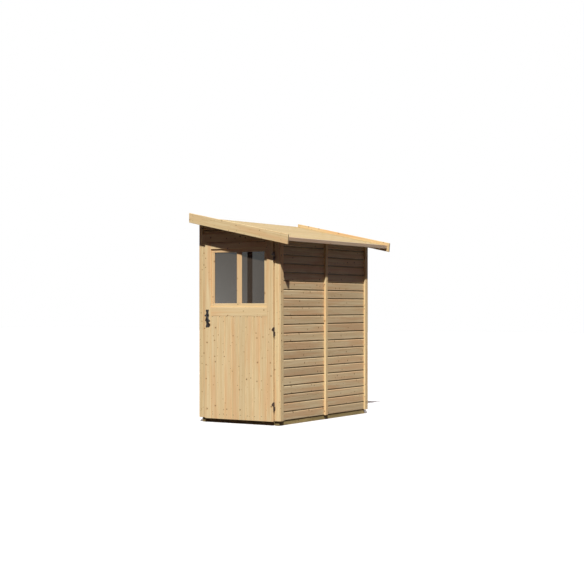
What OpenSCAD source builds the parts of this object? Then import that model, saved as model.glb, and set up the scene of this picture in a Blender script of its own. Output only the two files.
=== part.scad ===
// Small lean-to garden shed in planed softwood: treated timber base, boarded side and
// rear walls, an open framed side that stands against a house wall, a half glazed
// ledged door and a single pitch board roof.
// +X is the low eave side, -X the high house side, -Y the door end, +Z up.
// The origin is at ground level in the middle of the base.

/* [Walls] */
// Width over the corner strips, from the house side to the eave side
shed_w = 984; // [900:1:1100]
// Length over the corner strips, from the door end to the back
shed_l = 1788; // [1600:1:2200]
// Height of one wall board
board_h = 86.5; // [80:0.5:95]
// Number of board courses in the eave wall
courses = 21; // [20:1:22]
// Thickness of the wall boards
board_t = 18; // [14:1:22]
// Thickness of the corner strips that cover the board ends
strip_t = 20; // [14:1:24]
// Width of the corner strips on the long side
strip_w = 61; // [50:1:80]
// Width of the strip over the joint between the two wall panels
batten_w = 42; // [35:1:60]
// Depth of the wall posts and rails
post_d = 45; // [38:1:50]
// Thickness of the wall posts
post_t = 34; // [28:1:45]

/* [Base] */
// Height of the treated base timbers
base_h = 46; // [40:1:60]
// Width of the treated base timbers
base_t = 45; // [40:1:60]
// Thickness of the floor boards
floor_t = 18; // [16:1:22]

/* [Roof] */
// Fall of the roof for each unit of width
fall = 0.2115; // [0.18:0.0005:0.24]
// Top of the roof deck at the eave
eave_z = 1846; // [1830:1:1900]
// Thickness of the deck boards
deck_t = 18; // [16:1:22]
// Overhang of the roof past the eave wall
eave_out = 162; // [140:1:200]
// Overhang of the roof past the door end and the back
verge_out = 162; // [120:1:200]
// Overhang of the roof past the house side
high_out = 10; // [5:1:20]
// Depth of the bargeboards, measured upright
barge_h = 98.9; // [80:0.1:120]
// Thickness of the bargeboards
barge_t = 20; // [16:1:24]
// Height of the bargeboards above the deck
barge_up = 32.2; // [20:0.1:40]
// Depth of the rafters, measured upright
rafter_h = 46; // [40:1:60]
// Thickness of the rafters
rafter_t = 34; // [28:1:45]
// Height of the eave strip
fascia_h = 34; // [25:1:50]

/* [Door] */
// Width of the door leaf
door_w = 822; // [760:1:830]
// Bottom edge of the door leaf above the ground
door_z0 = 40; // [30:1:45]
// Top edge of the door leaf above the ground
door_z1 = 1818; // [1780:1:1818]
// Thickness of the door leaf
door_t = 30; // [28:1:30]
// Amount the door leaf stands out from the corner strips
door_out = 16; // [14:1:16]
// Width of the door stiles
stile_w = 73; // [65:1:85]
// Height of the door top rail
toprail_h = 62; // [55:1:75]
// Bottom edge of the lock rail
lock_z0 = 1080; // [1040:1:1100]
// Height of the lock rail
lock_h = 90; // [80:1:100]
// Width of the window frame bars
sash_w = 36; // [28:1:42]
// Width of the bar between the two panes
bar_w = 58; // [45:1:65]
// Recess of the window frame behind the stiles
sash_in = 13; // [8:1:16]
// Thickness of the panes
glass_t = 4; // [3:1:5]

/* [Ironwork] */
// Radius of the hinge barrels
barrel_r = 7; // [6:0.5:8]
// Height of a whole hinge
hinge_h = 86; // [76:1:100]
// Radius of the hinge pins
pin_r = 4; // [3:0.5:4.5]
// Height of the handle hub above the ground
hub_z = 1084; // [1060:1:1100]
// Radius of the handle spindle
spindle_r = 6; // [5:0.5:7]

/* [Hidden] */
$fn = 48;
x1 = shed_w/2;              // eave side face of the corner strips
x0 = -shed_w/2;             // house side face
y0 = -shed_l/2;             // front face of the corner strips
y1 = shed_l/2;              // back face of the corner strips
bx1 = x1 - strip_t;         // face of the eave wall boards
bx0 = bx1 - board_t;        // back of the eave wall boards
by0 = y0 + strip_t;         // back of the front strips
by1 = y1 - strip_t;         // face of the rear wall boards
fz = base_h + floor_t;      // top of the floor
wall_top = base_h + courses*board_h;
gap = 6;                    // clearance round the door leaf
dx1 = 414;                  // hinge edge of the door leaf
dx0 = dx1 - door_w;         // lock edge of the door leaf
dy0 = y0 - door_out;        // outer face of the door leaf
dy1 = dy0 + door_t;         // inner face of the door leaf
eave_x = x1 + eave_out;     // outer end of the roof
high_x = x0 - high_out;     // upper end of the roof
deck_v = deck_t*sqrt(1 + fall*fall);
lock_z1 = lock_z0 + lock_h;
win_z1 = door_z1 - toprail_h;
pin_x = dx1 + 9;
pin_y = y0 - 9;
hinge_z = [door_z0 + 150, (door_z0 + door_z1)/2, door_z1 - 146];
hub_x = dx0 + 30;
plate_t = 3;
head_z = 1912;              // top of the header board
rail_z = 1824;              // top of the head rails
rafter_y = [by0 + board_t, -rafter_t/2, by1 - board_t - rafter_t];

// Upright position of the deck's top face at x
function deck_z(x) = eave_z + fall*(eave_x - x);
// Underside of the rafters at x
function under_z(x) = deck_z(x) - deck_v - rafter_h;

// A box between two corners
module block(a, b) { translate(a) cube([b[0]-a[0], b[1]-a[1], b[2]-a[2]]); }

// A plate standing in the XZ plane, from ya to yb
module upright(ya, yb, pts) {
    translate([0, yb, 0]) rotate([90, 0, 0]) linear_extrude(yb - ya) polygon(pts);
}

module base_cross_timbers() { color("DarkKhaki") {
    block([base_t - 464, -849, 0], [464 - base_t, -849 + base_t, base_h]);
    block([base_t - 464, 866 - base_t, 0], [464 - base_t, 866, base_h]);
} }

// The two outer runners reach the front and the back, and the middle one lies between the cross timbers
module base_runners() { color("DarkKhaki") {
    for (x = [-464, 464 - base_t]) block([x, by0, 0], [x + base_t, 866, base_h]);
    block([-base_t/2, -849 + base_t, 0], [base_t/2, 866 - base_t, base_h]);
} }

module floor_boards() { color("Tan") block([-474, -849, base_h], [bx0 - 2, 854, fz]); }

// Eave wall boards, in two panels that meet under the batten
module rafter(y, play = 0) {
    upright(y - play, y + rafter_t + play,
        [[x0, under_z(x0) - play], [bx1, under_z(bx1) - play], [eave_x - 40, under_z(bx1) - play],
         [eave_x - 40, under_z(eave_x - 40) + rafter_h], [x0, under_z(x0) + rafter_h]]);
}
// The top course is notched where the rafters pass over the wall
module eave_wall_front() { color("Tan")
    difference() {
        block([bx0, by0, base_h], [bx1, -1, wall_top]);
        for (y = rafter_y) rafter(y, 0.5);
    }
}
module eave_wall_rear() { color("Tan")
    difference() {
        block([bx0, 1, base_h], [bx1, by1, wall_top]);
        for (y = rafter_y) rafter(y, 0.5);
    }
}

// Rear wall boards, cut to the roof line
module rear_wall() { color("Tan")
    upright(by1 - board_t, by1, [[x0, base_h], [bx0, base_h], [bx0, deck_z(bx0) - deck_v - 1], [x0, deck_z(x0) - deck_v - 1]]);
}

// Boards over the door head, set back behind the header board
module front_gable() { color("Tan")
    upright(by0, by0 + board_t, [[x0 + post_d, rail_z - 22], [bx0 - post_d, rail_z - 22], [bx0 - post_d, under_z(bx0 - post_d) + 1],
        [bx0, under_z(bx0) + 1], [bx0, deck_z(bx0) - deck_v - 1], [x0 + post_d, deck_z(x0 + post_d) - deck_v - 1]]);
}

module header_board() { color("BurlyWood")
    upright(y0, by0, [[x0 + 45, door_z1 + gap + 1], [bx1, door_z1 + gap + 1], [bx1, min(head_z, deck_z(bx1) - deck_v - 1)],
                     [bx1 - 20, min(head_z, deck_z(bx1 - 20) - deck_v - 1)], [(eave_x - (head_z + deck_v + 1 - eave_z)/fall), head_z], [x0 + 45, head_z]]);
}

// Front corner strips: the house side one runs past the header board
module front_strips() { color("BurlyWood") {
    upright(y0, by0, [[x0, base_h], [dx0 - gap, base_h], [dx0 - gap, door_z1 + gap], [x0 + 44.5, door_z1 + gap],
                      [x0 + 44.5, deck_z(x0 + 44.5) - deck_v - 1], [x0, deck_z(x0) - deck_v - 1]]);
    block([dx1 + 9, y0, base_h], [bx1, by0, door_z1 + gap]);
} }

module side_corner_strips() { color("BurlyWood") {
    for (y = [y0, y1 - strip_w]) difference() {
        block([bx1, y, base_h], [x1, y + strip_w, wall_top - 3]);
        for (r = rafter_y) rafter(r, 0.5);
    }
} }

module rear_strips() { color("BurlyWood") {
    upright(by1, y1, [[x0, base_h], [x0 + 82, base_h], [x0 + 82, deck_z(x0 + 82) - deck_v - 1], [x0, deck_z(x0) - deck_v - 1]]);
    upright(by1, y1, [[dx1 + 9, base_h], [bx1, base_h], [bx1, wall_top], [dx1 + 9, wall_top]]);
} }

module side_batten() { color("BurlyWood") block([bx1, -batten_w/2, base_h], [x1 + 3, batten_w/2, under_z(bx1) - 1]); }

// Posts at the two corners of the eave side
module corner_posts() { color("Peru") {
    block([bx0 - post_d, by0, fz], [bx0, by0 + post_d, under_z(bx0) - post_d]);
    // Stop behind the door's hinge edge
    block([bx0 - post_d - 8, by0, fz + post_t + 1], [bx0 - post_d + 1, by0 + 24, under_z(bx0) - post_d - 0.5]);
    block([bx0 - post_d - 8, by0, rail_z - 100], [bx0 - post_d - 0.3, by0 + 24, rail_z - post_t - 0.5]);
    block([bx0 - post_d, by1 - board_t - post_d, fz], [bx0, by1 - board_t, under_z(bx0) - post_d]);
} }

// Three posts of the open side
module house_side_posts() { color("Peru") {
    block([x0, by0, fz + post_t], [x0 + post_d, by0 + post_d, under_z(x0 + post_d) - post_d]);
    block([x0, -post_t/2, fz + post_t], [x0 + post_d, post_t/2, under_z(x0 + post_d) - post_d]);
    block([x0, by1 - board_t - post_d, fz + post_t], [x0 + post_d, by1 - board_t, under_z(x0 + post_d) - post_d]);
} }

// Paired studs where the two panels of the eave wall meet, and one in the rear wall
module side_wall_studs() { color("Peru") {
    block([bx0 - post_d, -1 - post_t, fz + post_t], [bx0, -1, under_z(bx0) - post_d]);
    block([bx0 - post_d, 1, fz + post_t], [bx0, 1 + post_t, under_z(bx0) - post_d]);
    block([-post_t/2, by1 - board_t - post_d, fz + post_t], [post_t/2, by1 - board_t, rail_z - post_t]);
} }

module sill_rails() { color("Peru") {
    block([bx0 - post_d, by0 + post_d, fz], [bx0, by1 - board_t - post_d, fz + post_t]);
    block([x0, by0, fz], [x0 + post_d, by1 - board_t, fz + post_t]);
} }
module rear_sill() { color("Peru") block([x0 + post_d, by1 - board_t - post_d, fz], [bx0 - post_d, by1 - board_t, fz + post_t]); }

// Wall plates, planed to the slope of the rafters
module top_plates() { color("Peru")
    for (x = [bx0 - post_d, x0])
        upright(by0, by1 - board_t, [[x, under_z(x + post_d) - post_d], [x + post_d, under_z(x + post_d) - post_d],
                                     [x + post_d, under_z(x + post_d) - 0.1], [x, under_z(x) - 0.1]]);
}

module front_head_rail() { color("Peru") block([x0 + post_d, by0 + board_t, rail_z - post_t], [bx0 - post_d, by0 + board_t + post_d, rail_z]); }
module rear_head_rail() { color("Peru") block([x0 + post_d, by1 - board_t - post_d, rail_z - post_t], [bx0 - post_d, by1 - board_t, rail_z]); }
module door_sill() { color("Peru") block([x0 + post_d, by0, fz], [bx0 - post_d, by0 + post_d, fz + post_t]); }

// Rafters at the two ends and in the middle
module rafters() { color("Peru") for (y = rafter_y) rafter(y); }

module roof_deck() { color("Wheat")
    upright(y0 - verge_out + barge_t, y1 + verge_out - barge_t,
        [[high_x, deck_z(high_x) - deck_v], [eave_x - strip_t, deck_z(eave_x - strip_t) - deck_v], [eave_x - strip_t, deck_z(eave_x - strip_t)], [high_x, deck_z(high_x)]]);
}

module eave_strip() { color("Tan")
    upright(y0 - verge_out + barge_t, y1 + verge_out - barge_t,
        [[eave_x - strip_t, deck_z(eave_x) - fascia_h], [eave_x, deck_z(eave_x) - fascia_h], [eave_x, deck_z(eave_x)], [eave_x - strip_t, deck_z(eave_x - strip_t)]]);
}

module bargeboard(ya) {
    upright(ya, ya + barge_t,
        [[high_x, deck_z(high_x) + barge_up - barge_h], [eave_x + 21, deck_z(eave_x + 21) + barge_up - barge_h],
         [eave_x + 30, deck_z(eave_x + 30) + barge_up], [high_x, deck_z(high_x) + barge_up]]);
}
module front_bargeboard() { color("BurlyWood") bargeboard(y0 - verge_out); }
module rear_bargeboard() { color("BurlyWood") bargeboard(y1 + verge_out - barge_t); }

// Door leaf
module door_stiles() { color("BurlyWood") {
    difference() {
        block([dx0, dy0, door_z0], [dx0 + stile_w, dy1, door_z1]);
        translate([hub_x, dy1 + 1, hub_z]) rotate([90, 0, 0]) cylinder(h = door_t + 2, r = spindle_r + 0.05);
    }
    block([dx1 - stile_w, dy0, door_z0], [dx1, dy1, door_z1]);
} }
module door_top_rail() { color("BurlyWood") block([dx0 + stile_w, dy0, win_z1], [dx1 - stile_w, dy1, door_z1]); }
module door_lock_rail() { color("BurlyWood") block([dx0 + stile_w, dy0, lock_z0], [dx1 - stile_w, dy1, lock_z1]); }
module door_boards() { color("BurlyWood") block([dx0 + stile_w, dy0 + 1, door_z0], [dx1 - stile_w, dy0 + 19, lock_z0]); }
// Ledges and brace that hold the door boards from inside
module door_ledges() { color("Peru") {
    block([dx0 + stile_w, dy0 + 19, door_z0 + 20], [dx1 - stile_w, dy1, door_z0 + 110]);
    block([dx0 + stile_w, dy0 + 19, 515], [dx1 - stile_w, dy1, 605]);
} }
module window_jambs() { color("BurlyWood") {
    block([dx0 + stile_w, dy0 + sash_in, lock_z1 + sash_w], [dx0 + stile_w + sash_w, dy1 - 2, win_z1 - sash_w]);
    block([dx1 - stile_w - sash_w, dy0 + sash_in, lock_z1 + sash_w], [dx1 - stile_w, dy1 - 2, win_z1 - sash_w]);
} }
module window_rails() { color("BurlyWood") {
    block([dx0 + stile_w, dy0 + sash_in, lock_z1], [dx1 - stile_w, dy1 - 2, lock_z1 + sash_w]);
    block([dx0 + stile_w, dy0 + sash_in, win_z1 - sash_w], [dx1 - stile_w, dy1 - 2, win_z1]);
} }
bar_x = (dx0 + dx1)/2;
module window_bar() { color("BurlyWood")
    block([bar_x - bar_w/2, dy0 + sash_in, lock_z1 + sash_w], [bar_x + bar_w/2, dy1 - 2, win_z1 - sash_w]);
}
module window_panes() { color("DimGray", 0.7) {
    block([dx0 + stile_w + sash_w, dy0 + 22, lock_z1 + sash_w], [bar_x - bar_w/2, dy0 + 22 + glass_t, win_z1 - sash_w]);
    block([bar_x + bar_w/2, dy0 + 22, lock_z1 + sash_w], [dx1 - stile_w - sash_w, dy0 + 22 + glass_t, win_z1 - sash_w]);
} }

// Long handle plate with flared ends, seen flat on the lock stile
module handle_plate() { color("Black")
    difference() {
        union() {
            translate([hub_x, dy0, 0]) rotate([90, 0, 0]) linear_extrude(plate_t)
                polygon([[-19, 1143], [-17, 1126], [-14, 1115], [-14, 991], [-17, 981], [-19, 964],
                         [19, 964], [17, 981], [14, 991], [14, 1115], [17, 1126], [19, 1143]]);
            translate([hub_x, dy0, hub_z]) rotate([90, 0, 0]) cylinder(h = plate_t + 0.5, r = 21);
            translate([hub_x, dy0, 1029]) rotate([90, 0, 0]) cylinder(h = plate_t + 0.5, r = 18);
        }
        translate([hub_x, dy0 + 1, hub_z]) rotate([90, 0, 0]) cylinder(h = plate_t + 3, r = spindle_r + 0.05);
    }
}
// Lever: spindle, neck and a curved grip that ends in a ball
module handle_lever() { color("Black") {
    translate([hub_x, dy1 - 4, hub_z]) rotate([90, 0, 0]) cylinder(h = door_t - 4 + plate_t + 4, r = spindle_r);
    translate([hub_x, dy0 - plate_t - 1, hub_z]) rotate([90, 0, 0]) cylinder(h = 38, r = 9);
    for (k = [0:5]) {
        a = k/6; b = (k + 1)/6;
        hull() {
            translate([hub_x + 46*a, dy0 - plate_t - 32, hub_z - 55*pow(a, 1.6)]) sphere(r = 7, $fn = 16);
            translate([hub_x + 46*b, dy0 - plate_t - 32, hub_z - 55*pow(b, 1.6)]) sphere(r = 7, $fn = 16);
        }
    }
    translate([hub_x + 46, dy0 - plate_t - 32, hub_z - 55]) sphere(r = 11, $fn = 24);
} }
// Rim lock on the inner face of the lock stile
module lock_case() { color("DimGray")
    difference() {
        block([dx0 + 8, dy1, 1010], [dx0 + 62, dy1 + 16, 1130]);
        translate([hub_x, dy1 + 17, hub_z]) rotate([90, 0, 0]) cylinder(h = 18, r = spindle_r + 2);
    }
}

// Lower hinge halves with their pins, fixed to the corner strip
module hinge_barrels_fixed() { color("SaddleBrown")
    for (z = hinge_z) {
        translate([pin_x, pin_y, z - hinge_h/2]) cylinder(h = hinge_h/2 - 0.4, r = barrel_r);
        translate([pin_x, pin_y, z - 1]) cylinder(h = hinge_h/2 - 8, r = pin_r);
        block([pin_x - 2, pin_y + 5, z - hinge_h/2 + 2], [pin_x + 10, y0, z - 3]);
    }
}
// Upper hinge halves, bored for the pins, fixed to the door's edge
module hinge_barrels_door() { color("SaddleBrown")
    for (z = hinge_z) difference() {
        union() {
            translate([pin_x, pin_y, z]) cylinder(h = hinge_h/2, r = barrel_r);
            block([dx1, pin_y - 6, z + 3], [dx1 + 3, pin_y + 19, z + hinge_h/2 - 2]);
        }
        translate([pin_x, pin_y, z - 1]) cylinder(h = hinge_h/2 - 6, r = pin_r + 0.05);
    }
}

base_cross_timbers();
base_runners();
floor_boards();
eave_wall_front();
eave_wall_rear();
rear_wall();
front_gable();
header_board();
front_strips();
side_corner_strips();
rear_strips();
side_batten();
corner_posts();
house_side_posts();
side_wall_studs();
sill_rails();
rear_sill();
top_plates();
front_head_rail();
rear_head_rail();
door_sill();
rafters();
roof_deck();
eave_strip();
front_bargeboard();
rear_bargeboard();
door_stiles();
door_top_rail();
door_lock_rail();
door_boards();
door_ledges();
window_jambs();
window_rails();
window_bar();
window_panes();
handle_plate();
handle_lever();
lock_case();
hinge_barrels_fixed();
hinge_barrels_door();
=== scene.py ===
import bpy
import math
import random
from mathutils import Vector, Matrix, noise


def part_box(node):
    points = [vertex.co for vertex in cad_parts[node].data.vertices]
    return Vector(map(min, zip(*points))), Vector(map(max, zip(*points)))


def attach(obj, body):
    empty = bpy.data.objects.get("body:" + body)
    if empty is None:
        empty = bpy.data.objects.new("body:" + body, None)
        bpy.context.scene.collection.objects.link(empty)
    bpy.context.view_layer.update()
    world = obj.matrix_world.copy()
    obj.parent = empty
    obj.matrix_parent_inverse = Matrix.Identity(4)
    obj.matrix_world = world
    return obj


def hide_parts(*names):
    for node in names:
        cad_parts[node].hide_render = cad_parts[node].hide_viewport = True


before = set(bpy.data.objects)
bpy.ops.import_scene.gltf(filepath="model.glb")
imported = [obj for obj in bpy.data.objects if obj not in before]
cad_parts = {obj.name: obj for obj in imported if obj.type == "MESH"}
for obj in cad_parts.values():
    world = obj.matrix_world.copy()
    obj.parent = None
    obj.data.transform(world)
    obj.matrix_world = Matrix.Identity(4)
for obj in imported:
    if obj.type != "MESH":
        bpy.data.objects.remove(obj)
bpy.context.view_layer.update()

MM = 0.001
FALL = 0.2115
COS = 1 / math.sqrt(1 + FALL * FALL)
SIN = FALL * COS


def B(name):
    lo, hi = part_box(name)
    return Vector(lo), Vector(hi)


# ------------------------------------------------------------------ camera
cam_data = bpy.data.cameras.new("Camera")
cam = bpy.data.objects.new("Camera", cam_data)
bpy.context.scene.collection.objects.link(cam)
cam_data.sensor_width = 36.0
cam_data.sensor_fit = "HORIZONTAL"
cam_data.lens = 36.0 * 1281.7 / 584.0
cam_data.shift_y = 13.8 / 584.0
cam_data.clip_end = 200
cam.location = (7.2603, -11.4983, 1.1822)
cam.rotation_euler = (math.radians(90), 0, math.radians(32.03))
bpy.context.scene.camera = cam


# ------------------------------------------------------------------ mesh building
class Build:
    """Collects boards and other solids into one mesh, with the grain coordinates of each."""

    def __init__(self, name, seed):
        self.name = name
        self.v, self.f = [], []
        self.gc, self.rnd, self.kind = [], [], []
        self.smooth = []
        self.rng = random.Random(seed)

    def start(self):
        self._r = (self.rng.random(), self.rng.random(), self.rng.random())

    def vert(self, co):
        self.v.append((co[0], co[1], co[2]))
        return len(self.v) - 1

    def face(self, idx, gcs, kind=0.0, smooth=False):
        self.f.append(tuple(idx))
        for g in gcs:
            self.gc.append((g[0], g[1], g[2]))
            self.rnd.append(self._r)
            self.kind.append(kind)
        self.smooth.append(smooth)

    def prism(self, profile, O, U, V, W, u0, u1, step=0.16, bow=0.0003, cut0=None, cut1=None,
              inset=0.0012, kinds=None, clip=None, round_face=False):
        """A length of timber: profile is a closed run of (v, w) points, counter-clockwise about U.
        cut0 and cut1 give how far the end at u0 or u1 moves along U at a point (v, w)."""
        self.start()
        n = len(profile)
        cv = sum(p[0] for p in profile) / n
        cw = sum(p[1] for p in profile) / n
        vs = [p[0] for p in profile]
        ws = [p[1] for p in profile]
        hv, hw = (max(vs) - min(vs)) / 2, (max(ws) - min(ws)) / 2
        mv, mw = (max(vs) + min(vs)) / 2, (max(ws) + min(ws)) / 2
        count = max(1, int(round((u1 - u0) / step)))
        stations = [u0] + [u0 + inset] + [u0 + (u1 - u0) * i / count for i in range(1, count)] + [u1 - inset, u1]
        sh = self.rng.random() * 100
        rings = []
        length = u1 - u0
        for k, u in enumerate(stations):
            end = k == 0 or k == len(stations) - 1
            ring, g = [], []
            t = (u - u0) / length
            lift = bow * (noise.noise(Vector((u * 3.1 + sh, 2.7, sh))) * 0.5 + 0.5)
            for (v, w) in profile:
                if end:
                    sv = (hv - inset) / hv if hv > inset else 0.5
                    sw = (hw - inset) / hw if hw > inset else 0.5
                    v2, w2 = mv + (v - mv) * sv, mw + (w - mw) * sw
                else:
                    v2, w2 = v, w
                if w2 > mw:
                    w2 -= lift
                uu = u
                if cut0:
                    uu += cut0(v2, w2) * (1 - t)
                if cut1:
                    uu += cut1(v2, w2) * t
                ring.append(self.vert(O + U * uu + V * v2 + W * w2))
                g.append((uu, v2 - mv, w2 - mw))
            rings.append((ring, g))
        for k in range(len(rings) - 1):
            (ra, ga), (rb, gb) = rings[k], rings[k + 1]
            for i in range(n):
                j = (i + 1) % n
                kd = kinds[i] if kinds else 0.0
                # the faces next to each end count as rounded edges, which wood() paints lighter as wear and as a
                # painted highlight
                if k == 0 or k == len(rings) - 2:
                    kd = max(kd, 0.5)
                self.face((ra[i], ra[j], rb[j], rb[i]), (ga[i], ga[j], gb[j], gb[i]), kd, round_face)
        ra, ga = rings[0]
        self.face(tuple(reversed(ra)), tuple(reversed(ga)), 1.0)
        rb, gb = rings[-1]
        self.face(tuple(rb), tuple(gb), 1.0)

    def finish(self, mat, body, replaces=(), clip=None, auto=False):
        me = bpy.data.meshes.new(self.name)
        me.from_pydata(self.v, [], self.f)
        a = me.attributes.new("gc", "FLOAT_VECTOR", "CORNER")
        a.data.foreach_set("vector", [c for g in self.gc for c in g])
        a = me.attributes.new("rnd", "FLOAT_VECTOR", "CORNER")
        a.data.foreach_set("vector", [c for g in self.rnd for c in g])
        a = me.attributes.new("kind", "FLOAT", "CORNER")
        a.data.foreach_set("value", self.kind)
        me.polygons.foreach_set("use_smooth", self.smooth)
        me.materials.append(mat)
        me.update()
        ob = bpy.data.objects.new(self.name, me)
        bpy.context.scene.collection.objects.link(ob)
        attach(ob, body)
        if replaces:
            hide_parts(*replaces)
        return ob


def round_rect(v0, v1, w0, w1, r=0.0025, seg=3):
    """A rectangle with rounded corners, counter-clockwise in (v, w)."""
    pts = []
    for (cv, cw, a0) in ((v1 - r, w0 + r, -90), (v1 - r, w1 - r, 0), (v0 + r, w1 - r, 90), (v0 + r, w0 + r, 180)):
        for k in range(seg + 1):
            a = math.radians(a0 + 90 * k / seg)
            pts.append((cv + r * math.cos(a), cw + r * math.sin(a)))
    return pts


def kinds_of(pts, r):
    """Marks the small faces of a rounded corner, which wood() paints a little lighter, as wear and as a painted
    highlight.
    """
    out = []
    for i in range(len(pts)):
        a, b = pts[i], pts[(i + 1) % len(pts)]
        out.append(0.5 if math.hypot(a[0] - b[0], a[1] - b[1]) < 1.3 * r else 0.0)
    return out


X, Y, Z = Vector((1, 0, 0)), Vector((0, 1, 0)), Vector((0, 0, 1))


def timber(b, lo, hi, axis, r=0.0025, cut0=None, cut1=None, step=0.16, bow=0.0003):
    """One piece of squared timber that fills the box from lo to hi, with its grain along axis."""
    lo, hi = Vector(lo), Vector(hi)
    if axis == "z":
        O, U, V, W, L = Vector((lo.x, lo.y, lo.z)), Z, X, Y, hi.z - lo.z
        a, c = hi.x - lo.x, hi.y - lo.y
    elif axis == "y":
        O, U, V, W, L = Vector((lo.x, lo.y, lo.z)), Y, Z, X, hi.y - lo.y
        a, c = hi.z - lo.z, hi.x - lo.x
    else:
        O, U, V, W, L = Vector((lo.x, lo.y, lo.z)), X, Y, Z, hi.x - lo.x
        a, c = hi.y - lo.y, hi.z - lo.z
    r = min(r, a * 0.3, c * 0.3)
    prof = round_rect(0, a, 0, c, r)
    b.prism(prof, O, U, V, W, 0, L, cut0=cut0, cut1=cut1, step=step, bow=bow, kinds=kinds_of(prof, r))


# ------------------------------------------------------------------ materials
def srgb(c):
    return tuple(((x / 255) / 12.92 if x / 255 <= 0.04045 else ((x / 255 + 0.055) / 1.055) ** 2.4) for x in c)


def lin(c):
    return srgb(c) + (1.0,)


class Nodes:
    def __init__(self, mat):
        mat.use_nodes = True
        self.t = mat.node_tree
        self.t.nodes.clear()
        self.x = 0

    def new(self, kind, **kw):
        n = self.t.nodes.new(kind)
        self.x += 40
        n.location = (self.x, 0)
        for k, v in kw.items():
            setattr(n, k, v)
        return n

    def link(self, a, b):
        self.t.links.new(a, b)

    def put(self, socket, value):
        if isinstance(value, bpy.types.NodeSocket):
            self.link(value, socket)
        else:
            socket.default_value = value

    def math(self, op, a, b=0.0, c=None, clamp=False):
        n = self.new("ShaderNodeMath", operation=op, use_clamp=clamp)
        self.put(n.inputs[0], a)
        self.put(n.inputs[1], b)
        if c is not None:
            self.put(n.inputs[2], c)
        return n.outputs[0]

    def vmath(self, op, a, b=(0, 0, 0)):
        n = self.new("ShaderNodeVectorMath", operation=op)
        self.put(n.inputs[0], a)
        self.put(n.inputs[1], b)
        return n.outputs["Value"] if op in ("LENGTH", "DISTANCE", "DOT_PRODUCT") else n.outputs[0]

    def sep(self, a):
        n = self.new("ShaderNodeSeparateXYZ")
        self.link(a, n.inputs[0])
        return n.outputs

    def comb(self, x, y, z):
        n = self.new("ShaderNodeCombineXYZ")
        self.put(n.inputs[0], x)
        self.put(n.inputs[1], y)
        self.put(n.inputs[2], z)
        return n.outputs[0]

    def noise(self, vec, scale=1.0, detail=2.0, rough=0.5, dist=0.0):
        n = self.new("ShaderNodeTexNoise")
        self.link(vec, n.inputs["Vector"])
        n.inputs["Scale"].default_value = scale
        n.inputs["Detail"].default_value = detail
        n.inputs["Roughness"].default_value = rough
        n.inputs["Distortion"].default_value = dist
        return n.outputs["Fac"]

    def remap(self, x, a, b, c=0.0, d=1.0, smooth=True):
        n = self.new("ShaderNodeMapRange", interpolation_type="SMOOTHSTEP" if smooth else "LINEAR")
        self.put(n.inputs["Value"], x)
        self.put(n.inputs["From Min"], a)
        self.put(n.inputs["From Max"], b)
        self.put(n.inputs["To Min"], c)
        self.put(n.inputs["To Max"], d)
        return n.outputs[0]

    def mix(self, fac, a, b, blend="MIX"):
        n = self.new("ShaderNodeMix", data_type="RGBA", blend_type=blend)
        self.put(n.inputs["Factor"], fac)
        self.put(n.inputs["A"], a)
        self.put(n.inputs["B"], b)
        return n.outputs["Result"]

    def attr(self, name):
        n = self.new("ShaderNodeAttribute")
        n.attribute_name = name
        return n


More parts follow.
